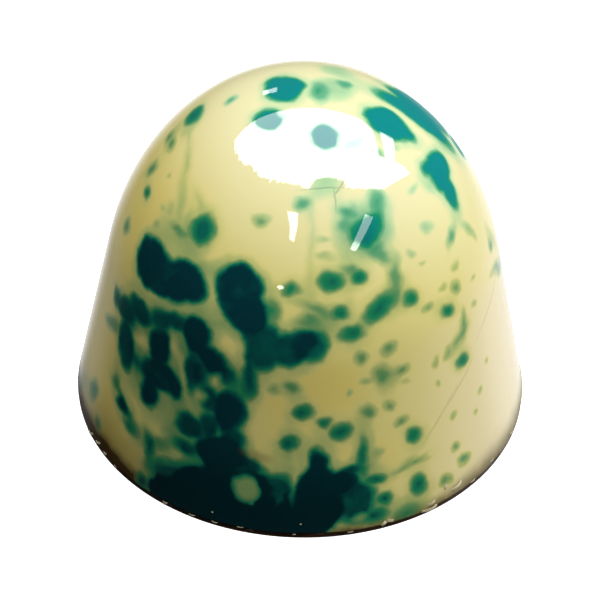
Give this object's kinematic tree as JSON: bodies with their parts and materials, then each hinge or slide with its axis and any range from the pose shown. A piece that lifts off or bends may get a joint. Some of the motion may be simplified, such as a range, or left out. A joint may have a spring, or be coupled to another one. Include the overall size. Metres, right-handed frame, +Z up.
{
  "type": "chocolate praline",
  "caption": "Tall dome of moulded chocolate with a glossy cream coat spattered in green, closed underneath by a thin layer of dark chocolate.",
  "frame": {"origin": "middle of the flat underside, on the surface that the praline stands on", "axes": "+Z up along the dome's axis, -Y towards the side that the picture shows"},
  "size_m": [0.0278, 0.0278, 0.0218],
  "materials": {
    "coat": "high gloss cream cocoa butter with a green and teal spatter",
    "dark_chocolate": "satin dark chocolate, scraped flat underneath"
  },
  "bodies": {
    "root": {"coated_dome": "coat", "dark_base": "dark_chocolate"}
  },
  "joints": []
}
